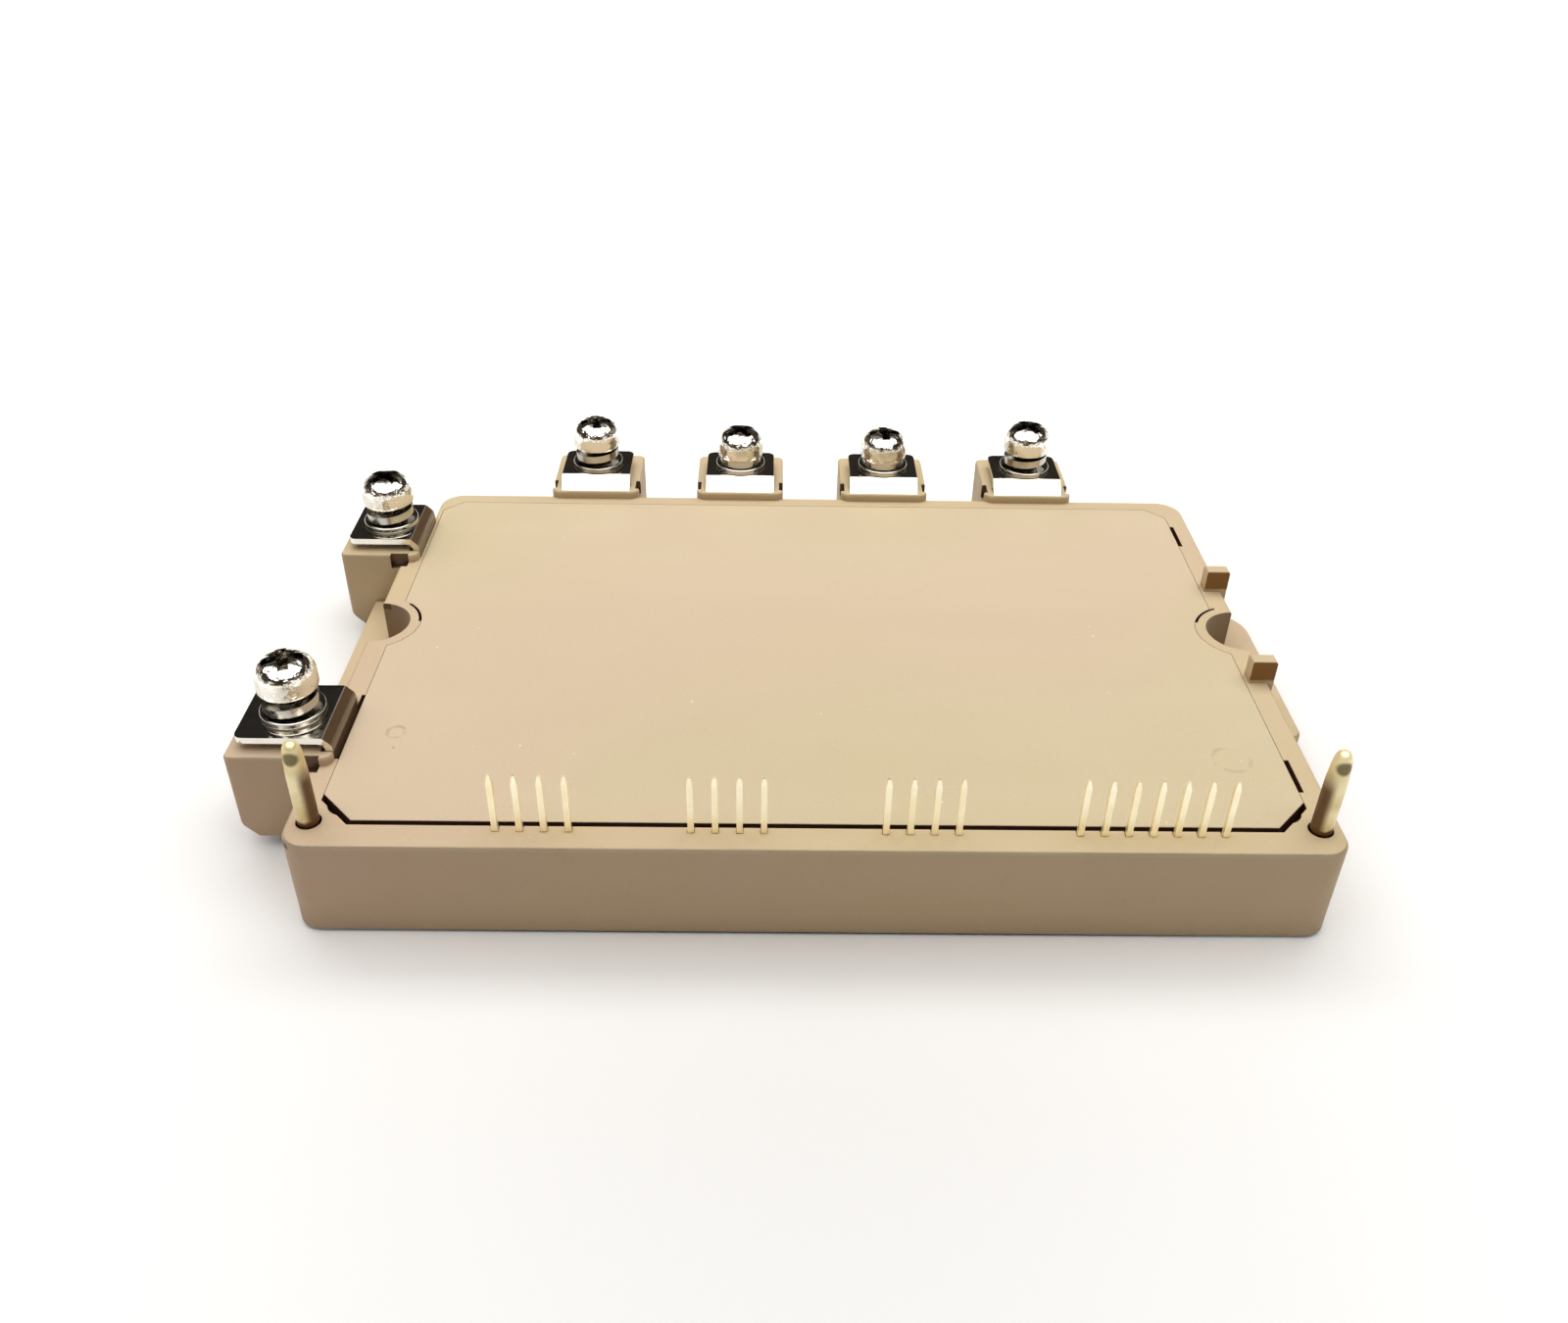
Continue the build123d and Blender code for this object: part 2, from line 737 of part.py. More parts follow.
def silicone_gel():
    """Soft filling over the circuit, open where the tiles, chips, wires and feet are."""
    gel = raised(cavity_outline(gel_clearance), plate_thickness, gel_top)
    space_top = gel_top - gel_cover
    for tile in range(2):
        gel -= tile_slab(tile, -gel_clearance, plate_thickness - 1, space_top)
    for terminal in terminals:
        half = foot_width / 2 + gel_clearance
        foot = block_box(-terminal.foot_length - gel_clearance, terminal.setback, -half, half,
                         circuit_top - gel_clearance, space_top)
        gel -= at_terminal(terminal, foot)
    return gel


nodes = {
    "case_frame": case_frame(),
    "lid": lid(),
    "baseplate": heat_sink_plate(),
    "control_board": control_board(),
    "silicone_gel": silicone_gel(),
}

for terminal in terminals:
    nodes["strap_" + terminal.name] = at_terminal(terminal, strap(terminal))

nodes["terminal_nuts"] = Compound(children=[at_screw(t, terminal_nut()) for t in terminals])
nodes["flat_washers"] = Compound(children=[at_screw(t, flat_washer()) for t in terminals])
nodes["spring_washers"] = Compound(children=[
    at_screw(t, spring_washer(t.screw_lift)) for t in terminals])
nodes["terminal_screws"] = Compound(children=[
    at_screw(t, terminal_screw(t.screw_lift)) for t in terminals])

for name, places in pin_places().items():
    nodes["control_pins_" + name] = Compound(children=[control_pin(x) for x in places])

nodes["guide_pin_left"] = guide_pin(-1)
nodes["guide_pin_right"] = guide_pin(1)

for tile, name in enumerate(tile_names):
    ceramic_bottom = plate_thickness + copper_thickness
    nodes["tile_solder_copper_" + name] = tile_slab(
        tile, island_margin / 2, plate_thickness, ceramic_bottom)
    nodes["ceramic_tile_" + name] = tile_slab(
        tile, 0, ceramic_bottom, ceramic_bottom + ceramic_thickness)
    nodes["circuit_copper_" + name] = circuit_islands(tile)
    nodes["bond_wires_" + name] = bond_wires(tile)

for pair in range(pair_count):
    nodes["igbt_chip_" + str(pair + 1)] = chip(pair, igbt_from_bus, igbt_size, igbt_size)
    nodes["diode_chip_" + str(pair + 1)] = chip(pair, diode_from_bus, diode_width, diode_length)

for index, terminal in enumerate(terminals[2:]):
    nodes["driver_chip_" + str(index + 1)] = driver_chip(terminal.x)

os.makedirs("parts", exist_ok=True)
for name, shape in nodes.items():
    export_step(shape, "parts/" + name + ".step")
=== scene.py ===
from math import cos, pi, sin

import bmesh
import bpy
from mathutils import Matrix, Vector


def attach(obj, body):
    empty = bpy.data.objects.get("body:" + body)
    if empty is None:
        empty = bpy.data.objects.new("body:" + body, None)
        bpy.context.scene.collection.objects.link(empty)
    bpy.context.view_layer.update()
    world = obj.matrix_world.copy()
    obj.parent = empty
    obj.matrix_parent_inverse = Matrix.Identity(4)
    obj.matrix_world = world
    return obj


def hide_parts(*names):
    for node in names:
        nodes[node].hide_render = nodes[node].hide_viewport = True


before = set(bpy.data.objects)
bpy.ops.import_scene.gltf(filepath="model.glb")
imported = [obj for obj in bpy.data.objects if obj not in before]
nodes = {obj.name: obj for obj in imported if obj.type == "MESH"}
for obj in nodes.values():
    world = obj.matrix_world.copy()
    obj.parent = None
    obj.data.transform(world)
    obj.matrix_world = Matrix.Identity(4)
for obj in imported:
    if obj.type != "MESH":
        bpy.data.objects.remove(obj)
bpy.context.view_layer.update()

MM = 0.001

# Camera of the photograph, in the frame of the part
CAMERA_PLACE = Vector((-5.45, -140.83, 106.92)) * MM
CAMERA_PITCH = 0.6073
CAMERA_YAW = 0.0155
CAMERA_ROLL = 0.0189
CAMERA_LENS = 31.02

# Studio: a soft panel overhead, open towards the back, and a pale floor
PANEL_HEIGHT = 0.62
PANEL_WIDTH = 1.30
PANEL_DEPTH = 1.00
PANEL_SHIFT = -0.26
KEY_SHIFT = 0.06
PANEL_POWER = 12.2
LIGHT_COLOUR = (1.0, 0.985, 0.96)
FLOOR_SIZE = 20.0
FLOOR_DROP = 0.02 * MM
FLOOR_PALE = (0.965, 0.965, 0.965, 1)
FLOOR_PALEST = (0.975, 0.975, 0.975, 1)
FLOOR_BOUNCE = (0.60, 0.53, 0.54, 1)
GLOW_START = 0.02
GLOW_FULL = 0.26
WORLD_DIFFUSE = (0.10, 0.09, 0.08, 1)

# What the metal mirrors at each height above the horizon
WORLD_RAMP = [(0.08, (1, 1, 1, 1)),
              (0.20, (0.16, 0.10, 0.05, 1)),
              (0.36, (0.035, 0.028, 0.022, 1)),
              (0.66, (0.02, 0.02, 0.02, 1)),
              (0.88, (0.5, 0.48, 0.45, 1))]

# Places on the case
CASE_TOP = 12.0 * MM
EAR_TOP = 5.8 * MM
MOUNT_X = 55.5 * MM
MOUNT_Y = 3.6 * MM
POCKET_RADIUS = 4.7 * MM
POST_SIDE = 52 * MM
POST_BOTTOM = 12.2 * MM
NOTCH_BOTTOM = 11.06 * MM
REAR_NOTCH = (38.8 * MM, 41.4 * MM)
LEFT_NOTCH = (-56.95 * MM, -54.35 * MM)

# Faint round marks on the lid: centre, radius, half width and strength
LID_MARKS = [((46.9 * MM, -22.7 * MM, 0), 2.1 * MM, 0.35 * MM, 0.25),
             ((-47.5 * MM, -19.0 * MM, 0), 1.0 * MM, 0.35 * MM, 0.40),
             ((-47.2 * MM, -21.9 * MM, 0), 0.0, 0.30 * MM, 0.8)]

# Guide pins, in millimetres, with pairs of radius and height for the turned profile
GUIDE_X = 53.1
GUIDE_Y = -34.3
GUIDE_PROFILE = [(0, 4.0), (0.85, 4.0), (0.85, 12.0), (1.05, 12.0), (1.15, 12.1), (1.15, 18.3),
                 (1.13, 18.9), (1.02, 20.9), (0.96, 21.5), (0.85, 21.95), (0.68, 22.3),
                 (0.45, 22.5), (0.22, 22.58), (0, 22.6)]
GUIDE_SEGMENTS = 64
# Heights where the painted shade fades in, on the side and at the foot
SIDE_SHADE_HEIGHTS = (20.5 * MM, 17.5 * MM)
FOOT_SHADE_HEIGHTS = (13.3 * MM, 12.7 * MM)
WORN_HEIGHT = 20.9
WORN_FORWARD = 0.8

# Terminal screws, in millimetres: place, lift of the loose screw and turn of its recess
TAB_TOP = 14.8
SCREWS = [(-58.55, -19.0, 1.6, 0.35), (-57.75, 24.9, 1.4, 0.9), (-31.1, 43.6, 1.3, 0.2),
          (-9.7, 43.6, 0.1, 0.7), (11.7, 43.6, 0.0, 0.1), (33.1, 43.6, 1.3, 0.5)]
WASHER_STACK = 1.9
HEAD_RADIUS = 3.4
HEAD_HEIGHT = 3.8
HEAD_DOME = 2.2
HEAD_EDGE = 0.25
HEAD_EDGE_MIDDLE = 0.07
DOME_STEPS = 12
HEAD_SEGMENTS = 72
RECESS_ARM = 2.3
RECESS_HALF_WIDTH = 0.62
RECESS_DEPTH = 2.1
RECESS_TAPER = 0.9
SCREW_LENGTH = 10.0
THREAD_PITCH = 0.7
THREAD_CREST = 1.94
THREAD_ROOT = 1.56
THREAD_FLANK = 1.25
POINT_SLOPE = 1.2
SHANK_SEGMENTS = 40
RINGS_PER_TURN = 8

# Edges that turn by more than this many radians stay sharp
SHARP_ANGLE = 0.6

# Colours as linear values
CASE_YELLOW = (0.655, 0.525, 0.315, 1)
CASE_PINK = (0.665, 0.505, 0.345, 1)
LID_YELLOW = (0.675, 0.565, 0.365, 1)
LID_PINK = (0.70, 0.555, 0.395, 1)
PLASTIC_DARK = (0.30, 0.20, 0.11, 1)
# Painted shade colours for corners, screw pockets and the posts' faces
PLASTIC_SHADE = (0.16, 0.09, 0.03, 1)
POST_SHADE = (0.22, 0.10, 0.012, 1)
# Painted shade colours for slits, gaps and notches
GAP_SHADE = (0.045, 0.014, 0.006, 1)
NOTCH_SHADE = (0.10, 0.045, 0.015, 1)
PLASTIC_LIGHT = (0.88, 0.78, 0.62, 1)
NICKEL_LIGHT = (0.80, 0.77, 0.70, 1)
NICKEL_DARK = (0.52, 0.48, 0.41, 1)
SCREW_DARK = (0.36, 0.33, 0.22, 1)
WASHER_LIGHT = (0.52, 0.49, 0.44, 1)
WASHER_DARK = (0.20, 0.17, 0.13, 1)
# Painted shade for recesses in the metal parts
METAL_RECESS_SHADE = (0.05, 0.04, 0.025, 1)
GOLD_LIGHT = (1.0, 0.93, 0.70, 1)
GOLD_DARK = (0.97, 0.84, 0.54, 1)
BRASS_LIGHT = (0.90, 0.80, 0.50, 1)
BRASS_DARK = (0.72, 0.60, 0.30, 1)
# Painted shade on the guide pins' side and foot
BRASS_SHADE = (0.11, 0.045, 0.012, 1)
BRASS_WORN = (0.08, 0.06, 0.01, 1)
# Painted shade on the left straps' side that faces into the module
STRAP_SIDE_SHADE = (0.12, 0.075, 0.04, 1)
COPPER_LIGHT = (0.86, 0.45, 0.28, 1)
COPPER_DARK = (0.55, 0.24, 0.13, 1)
ALUMINIUM_LIGHT = (0.84, 0.84, 0.85, 1)
ALUMINIUM_DARK = (0.6, 0.6, 0.62, 1)
BOARD_DARK = (0.01, 0.10, 0.035, 1)
BOARD_LIGHT = (0.02, 0.16, 0.06, 1)
GEL_DARK = (0.72, 0.72, 0.68, 1)
GEL_LIGHT = (0.86, 0.86, 0.83, 1)
CERAMIC_DARK = (0.80, 0.80, 0.78, 1)
CERAMIC_LIGHT = (0.88, 0.88, 0.86, 1)
SILICON_DARK = (0.20, 0.21, 0.25, 1)
SILICON_LIGHT = (0.34, 0.35, 0.40, 1)
DRIVER_DARK = (0.012, 0.012, 0.013, 1)
DRIVER_LIGHT = (0.03, 0.03, 0.032, 1)
BLACK = (0, 0, 0, 1)
WHITE = (1, 1, 1, 1)


class Finish:
    """Node tree of one material, with short calls for the nodes that the finishes share."""

    def __init__(self, name, **constants):
        self.material = bpy.data.materials.new(name)
        self.material.use_nodes = True
        self.tree = self.material.node_tree
        self.shader = self.tree.nodes["Principled BSDF"]
        for key, value in constants.items():
            self.shader.inputs[key.replace("_", " ")].default_value = value
        self.place = self.add("ShaderNodeTexCoord").outputs["Object"]
        self.facing = self.add("ShaderNodeNewGeometry").outputs["Normal"]

    def add(self, kind, settings=None, **inputs):
        """New node whose inputs are sockets to link or plain values."""
        node = self.tree.nodes.new(kind)
        for key, value in (settings or {}).items():
            setattr(node, key, value)
        for key, value in inputs.items():
            socket = node.inputs[int(key[1:])] if key[1:].isdigit() else node.inputs[key]
            if isinstance(value, bpy.types.NodeSocket):
                self.tree.links.new(value, socket)
            else:
                socket.default_value = value
        return node

    def noise(self, scale, detail=3.0, stretch=None):
        """Noise with this many features in a metre, stretched along the axes if asked."""
        place = self.place
        if stretch is not None:
            place = self.add("ShaderNodeMapping", Vector=place, Scale=stretch).outputs["Vector"]
        node = self.add("ShaderNodeTexNoise", Vector=place, Scale=scale, Detail=detail)
        return node.outputs["Fac"]

    def cells(self, scale):
        """Distance to the nearest of scattered points."""
        node = self.add("ShaderNodeTexVoronoi", Vector=self.place, Scale=scale)
        return node.outputs["Distance"]

    def span(self, value, low, high, to_low=0.0, to_high=1.0):
        """Value mapped smoothly from one range to another."""
        node = self.add("ShaderNodeMapRange", {"interpolation_type": "SMOOTHSTEP"},
                        i0=value, i1=low, i2=high, i3=to_low, i4=to_high)
        return node.outputs["Result"]

    def math(self, operation, first, second=0.0):
        """One sum on values."""
        return self.add("ShaderNodeMath", {"operation": operation}, i0=first, i1=second).outputs[0]

    def part(self, vector, axis):
        """One component of a vector."""
        return self.add("ShaderNodeSeparateXYZ", i0=vector).outputs[axis]

    def all_of(self, *masks):
        """Product of several masks."""
        product = masks[0]
        for mask in masks[1:]:
            product = self.math("MULTIPLY", product, mask)
        return product

    def mix(self, factor, first, second):
        """Colour between two colours."""
        node = self.add("ShaderNodeMix", {"data_type": "RGBA"}, i0=factor, i6=first, i7=second)
        return node.outputs[2]

    def distance(self, centre, flatten=False):
        """Distance from a point, or from the upright line through it."""
        node = self.add("ShaderNodeMapping", Vector=self.place, Location=[-v for v in centre],
                        Scale=(1, 1, 0 if flatten else 1))
        return self.add("ShaderNodeVectorMath", {"operation": "LENGTH"},
                        i0=node.outputs["Vector"]).outputs["Value"]

    def crevices(self, reach, open_from=0.85, deep_from=0.35, samples=6):
        """0 in the open and 1 deep in a corner."""
        node = self.add("ShaderNodeAmbientOcclusion", {"samples": samples}, Distance=reach)
        return self.span(node.outputs["AO"], open_from, deep_from)

    def bump(self, *layers):
        """Normal from layers of height, strength and depth in metres."""
        normal = None
        for height, strength, depth in layers:
            node = self.add("ShaderNodeBump", Height=height, Strength=strength, Distance=depth)
            if normal is not None:
                self.tree.links.new(normal, node.inputs["Normal"])
            normal = node.outputs["Normal"]
        return normal

    def wire(self, colour=None, roughness=None, normal=None):
        """Links what was made to the shader and returns the material."""
        for value, key in ((colour, "Base Color"), (roughness, "Roughness"), (normal, "Normal")):
            if value is not None:
                self.tree.links.new(value, self.shader.inputs[key])
        return self.material


def plastic_tone(finish, yellow, pink, marks=()):
    """Colour and grain of the plastic: flow streaks, specks, marks and painted shade in its
    corners.
    """
    cloud = finish.span(finish.noise(16, 2), 0.35, 0.65)
    colour = finish.mix(cloud, pink, yellow)
    streak = finish.span(finish.noise(40, 4, stretch=(0.35, 1.6, 1.2)), 0.45, 0.75)
    colour = finish.mix(finish.math("MULTIPLY", streak, 0.10), colour, PLASTIC_LIGHT)
    grain = finish.noise(2600, 3)
    colour = finish.mix(finish.span(grain, 0.55, 0.85, 0.0, 0.16), colour, PLASTIC_DARK)
    speck = finish.span(finish.cells(420), 0.085, 0.05)
    rare = finish.span(finish.noise(130, 1), 0.60, 0.66)
    colour = finish.mix(finish.math("MULTIPLY", speck, rare), colour, PLASTIC_LIGHT)
    for centre, radius, width, strength in marks:
        away = finish.math("ABSOLUTE", finish.math(
            "SUBTRACT", finish.distance(centre, flatten=True), radius))
        ring = finish.math("MULTIPLY", finish.span(away, width, width * 0.3), strength)
        patchy = finish.math("MULTIPLY", ring, finish.span(finish.noise(500, 2), 0.4, 0.6))
        colour = finish.mix(patchy, colour, PLASTIC_DARK)
    # Painted shade: darker brown deep in corners, from ambient occlusion.
    crevice_shade = finish.math("MULTIPLY", finish.crevices(1.5 * MM), 0.45)
    return finish.mix(crevice_shade, colour, PLASTIC_DARK), grain


def finish_plastic(finish, colour, grain):
    """Wires the matte glass-filled surface."""
    roughness = finish.span(finish.noise(300, 4), 0.3, 0.7, 0.46, 0.62)
    normal = finish.bump((grain, 0.35, 0.04 * MM), (finish.noise(350, 3), 0.2, 0.08 * MM))
    return finish.wire(colour, roughness, normal)


def case_plastic(name):
    """Case moulding, with painted shade in its slits, corners, screw pockets and notches, and on
    the posts' front faces.
    """
    finish = Finish(name, Specular_IOR_Level=0.32)
    colour, grain = plastic_tone(finish, CASE_YELLOW, CASE_PINK)
    across, along, height = (finish.part(finish.place, axis) for axis in range(3))
    upright = finish.span(finish.part(finish.facing, 2), 0.6, 0.3)
    below_rim = finish.span(height, CASE_TOP - 0.02 * MM, CASE_TOP - 0.15 * MM)
    # Painted shade: upright faces darker deep in corners, from ambient occlusion.
    corners = finish.all_of(upright, finish.crevices(7 * MM, 0.75, 0.35), 0.45)
    colour = finish.mix(corners, colour, PLASTIC_SHADE)
    # Painted shade on the upright walls of the screw pockets, above the ear.
    above_ear = finish.span(height, EAR_TOP, EAR_TOP + 0.2 * MM)
    for side in (-1, 1):
        away = finish.distance((side * MOUNT_X, MOUNT_Y, 0), flatten=True)
        pocket = finish.all_of(upright, below_rim, above_ear,
                               finish.span(away, POCKET_RADIUS + 0.2 * MM, POCKET_RADIUS), 0.7)
        colour = finish.mix(pocket, colour, PLASTIC_SHADE)
    # Painted shade on the posts' faces that face the front.
    posts = finish.all_of(finish.span(across, POST_SIDE, POST_SIDE + 0.5 * MM),
                          finish.span(height, POST_BOTTOM, POST_BOTTOM + 0.4 * MM),
                          finish.span(finish.part(finish.facing, 1), -0.3, -0.6))
    colour = finish.mix(posts, colour, POST_SHADE)
    # Painted shade on the upright walls of the notches.
    raised = finish.span(height, NOTCH_BOTTOM, NOTCH_BOTTOM + 0.1 * MM)
    for value, (low, high) in ((along, REAR_NOTCH), (across, LEFT_NOTCH)):
        inside = finish.all_of(finish.span(value, low, low + 0.1 * MM),
                               finish.span(value, high, high - 0.1 * MM))
        colour = finish.mix(finish.all_of(inside, raised, upright, 0.9), colour, NOTCH_SHADE)
    # Painted shade in the slits and seams below the rim, from ambient occlusion.
    slits = finish.all_of(below_rim, finish.crevices(3 * MM, 0.60, 0.42, 16))
    return finish_plastic(finish, finish.mix(slits, colour, GAP_SHADE), grain)


def lid_plastic(name):
    """Lid, with painted shade on the sides that only show in the gap around it."""
    finish = Finish(name, Specular_IOR_Level=0.32)
    colour, grain = plastic_tone(finish, LID_YELLOW, LID_PINK, LID_MARKS)
    # Painted shade on the lid's upright sides.
    upright = finish.span(finish.part(finish.facing, 2), 0.6, 0.3)
    return finish_plastic(finish, finish.mix(upright, colour, GAP_SHADE), grain)


def worn_metal(name, light, dark, rough, lines=(1, 1, 1), dents=0.25, pits=0.0, shade_recesses=False,
               shaded_side=0):
    """Metal with faint drawn lines, stains, dents and pits, with painted shade in its crevices,
    more painted shade in recesses if asked, and painted shade on one side if asked.
    """
    finish = Finish(name, Metallic=1.0)
    stain = finish.span(finish.noise(260, 5), 0.45, 0.72)
    scratch = finish.noise(1500, 4, stretch=lines)
    colour = finish.mix(finish.math("MULTIPLY", stain, 0.7), light, dark)
    # Painted shade: darker in crevices, from ambient occlusion.
    crevice_shade = finish.math("MULTIPLY", finish.crevices(0.8 * MM), 0.7)
    colour = finish.mix(crevice_shade, colour, dark)
    # Deeper painted shade in recesses, such as the screw heads' cross.
    if shade_recesses:
        colour = finish.mix(finish.crevices(1.6 * MM, 0.55, 0.35), colour, METAL_RECESS_SHADE)
    # Painted shade on the faces that turn towards the given side along x, also made less metallic
    # there.
    if shaded_side:
        towards = finish.math("MULTIPLY", finish.part(finish.facing, 0), shaded_side)
        shaded_faces = finish.span(towards, 0.25, 0.60)
        colour = finish.mix(shaded_faces, colour, STRAP_SIDE_SHADE)
        metallic = finish.math("SUBTRACT", 1.0, finish.math("MULTIPLY", shaded_faces, 0.9))
        finish.tree.links.new(metallic, finish.shader.inputs["Metallic"])
    roughness = finish.span(scratch, 0.3, 0.7, *rough)
    normal = finish.bump((finish.noise(420, 3), dents, 0.20 * MM), (scratch, 0.20, 0.02 * MM),
                         (finish.noise(1000, 2), pits, 0.30 * MM))
    return finish.wire(colour, roughness, normal)


def guide_brass(name, side):
    """Dull pale brass with painted shade on the side towards the module and at the foot, and a
    worn patch at the tip.
    """
    finish = Finish(name, Metallic=0.55)
    scratch = finish.noise(900, 4, stretch=(1, 1, 0.15))
    colour = finish.mix(finish.span(finish.noise(260, 5), 0.4, 0.7), BRASS_LIGHT, BRASS_DARK)
    height = finish.part(finish.place, 2)
    # Painted shade on the side towards the module, below the shoulder.
    towards = finish.math("MULTIPLY", finish.part(finish.facing, 0), -side)
    lower = finish.span(height, *SIDE_SHADE_HEIGHTS)
    colour = finish.mix(finish.all_of(finish.span(towards, 0.0, 0.7), lower, 0.95), colour,
                        BRASS_SHADE)
    # Painted shade at the foot, with a ragged edge.
    ragged = finish.math("ADD", height, finish.span(finish.noise(700, 2), 0.3, 0.7, 0, 0.5 * MM))
    colour = finish.mix(finish.span(ragged, *FOOT_SHADE_HEIGHTS), colour, BRASS_SHADE)
    tip = finish.distance(Vector((side * GUIDE_X, GUIDE_Y - WORN_FORWARD, WORN_HEIGHT)) * MM)
    colour = finish.mix(finish.span(tip, 1.0 * MM, 0.6 * MM, 0, 0.85), colour, BRASS_WORN)
    return finish.wire(colour, finish.span(scratch, 0.3, 0.7, 0.34, 0.5),
                       finish.bump((scratch, 0.25, 0.03 * MM)))


def laminate(name):
    """Green board with the weave of its glass cloth."""
    finish = Finish(name, Coat_Weight=0.4, Coat_Roughness=0.2)
    weave = finish.noise(1400, 2, stretch=(1, 6, 1))
    colour = finish.mix(finish.span(weave, 0.3, 0.7), BOARD_DARK, BOARD_LIGHT)
    return finish.wire(colour, finish.span(weave, 0.3, 0.7, 0.35, 0.5),
                       finish.bump((weave, 0.3, 0.03 * MM)))


def soft_gel(name):
    """Cloudy soft filling."""
    finish = Finish(name, Transmission_Weight=0.35, IOR=1.41)
    cloud = finish.noise(120, 4)
    colour = finish.mix(finish.span(cloud, 0.3, 0.7), GEL_DARK, GEL_LIGHT)
    return finish.wire(colour, finish.span(cloud, 0.3, 0.7, 0.15, 0.3),
                       finish.bump((cloud, 0.3, 0.3 * MM)))


def grained(name, first, second, rough, **constants):
    """Plain fine-grained finish for the hidden pieces."""
    finish = Finish(name, **constants)
    grain = finish.noise(900, 4)
    colour = finish.mix(finish.span(grain, 0.3, 0.7), first, second)
    return finish.wire(colour, finish.span(grain, 0.3, 0.7, rough, rough + 0.15),
                       finish.bump((grain, 0.3, 0.02 * MM)))


def floor_finish():
    """Pale floor that looks white, also far off, and throws back a warmer, dimmer light."""
    finish = Finish("studio_floor", Specular_IOR_Level=0.1, Roughness=0.9, Emission_Strength=1.0)
    path = finish.add("ShaderNodeLightPath")
    seen = finish.math("MAXIMUM", path.outputs["Is Camera Ray"], path.outputs["Is Glossy Ray"])
    seen = finish.math("MAXIMUM", seen, path.outputs["Is Transmission Ray"])
    tone = finish.span(finish.noise(3, 2), 0.2, 0.8)
    pale = finish.mix(tone, FLOOR_PALE, FLOOR_PALEST)
    away = finish.distance((0, 0, 0))
    far = finish.math("MULTIPLY", seen, finish.span(away, GLOW_START, GLOW_FULL))
    glow = finish.mix(far, BLACK, WHITE)
    finish.tree.links.new(glow, finish.shader.inputs["Emission Color"])
    return finish.wire(finish.mix(seen, FLOOR_BOUNCE, pale))


def dress(material, *names):
    """Gives CAD nodes a finish."""
    for name in names:
        mesh = nodes[name].data
        mesh.materials.clear()
        mesh.materials.append(material)


def names_with(prefix):
    """Nodes whose name starts with this."""
    return [name for name in sorted(nodes) if name.startswith(prefix)]


def skin(mesh, rings):
    """Joins each ring of points to the next with faces."""
    for lower, upper in zip(rings, rings[1:]):
        for step in range(len(lower)):
            after = (step + 1) % len(lower)
            corners = [lower[step], lower[after], upper[after], upper[step]]
            mesh.faces.new(list(dict.fromkeys(corners)))


def lathe(mesh, profile, centre, segments):
    """Adds a turned shape from pairs of radius and height in millimetres."""
    x, y = centre
    rings = []
    for radius, height in profile:
        if radius == 0:
            rings.append([mesh.verts.new(Vector((x, y, height)) * MM)] * segments)
            continue
        rings.append([mesh.verts.new(Vector((x + radius * cos(2 * pi * step / segments),
                                             y + radius * sin(2 * pi * step / segments),
                                             height)) * MM) for step in range(segments)])
    skin(mesh, rings)


def thread_radius(height, angle):
    """Radius of the screw thread at a height and an angle."""
    turn = (height / THREAD_PITCH - angle / (2 * pi)) % 1
    depth = THREAD_CREST - THREAD_ROOT
    return THREAD_CREST - depth * max(0.0, 1 - abs(2 * turn - 1) * THREAD_FLANK)


def threaded_shank(mesh, centre, bottom, top):
    """Adds a closed shank with a helical thread between two heights in millimetres."""
    x, y = centre
    count = round((top - bottom) / THREAD_PITCH * RINGS_PER_TURN)
    rings = []
    for level in range(count + 1):
        height = bottom + (top - bottom) * level / count
        ring = []
        for step in range(SHANK_SEGMENTS):
            angle = 2 * pi * step / SHANK_SEGMENTS
            point = THREAD_ROOT + (height - bottom) * POINT_SLOPE
            radius = min(thread_radius(height, angle), point)
            ring.append(mesh.verts.new(Vector((x + radius * cos(angle), y + radius * sin(angle),
                                               height)) * MM))
        rings.append(ring)
    skin(mesh, rings)
    mesh.faces.new(rings[0][::-1])
    mesh.faces.new(rings[-1])


def as_object(mesh, name, smooth=True):
    """Turns a bmesh into an object in the scene."""
    bmesh.ops.recalc_face_normals(mesh, faces=mesh.faces)
    for face in mesh.faces:
        face.smooth = smooth
    for edge in mesh.edges:
        edge.smooth = not (len(edge.link_faces) == 2 and edge.calc_face_angle() > SHARP_ANGLE)
    data = bpy.data.meshes.new(name)
    mesh.to_mesh(data)
    mesh.free()
    piece = bpy.data.objects.new(name, data)
    bpy.context.scene.collection.objects.link(piece)
    return piece


def carved(piece, cutter):
    """Takes the cutter out of a piece for good."""
    step = piece.modifiers.new("carve", "BOOLEAN")
    step.operation = "DIFFERENCE"
    step.solver = "EXACT"
    step.object = cutter
    bpy.context.view_layer.update()
    evaluated = piece.evaluated_get(bpy.context.evaluated_depsgraph_get())
    data = bpy.data.meshes.new_from_object(evaluated)
    piece.modifiers.clear()
    piece.data = data
    bpy.data.objects.remove(cutter)


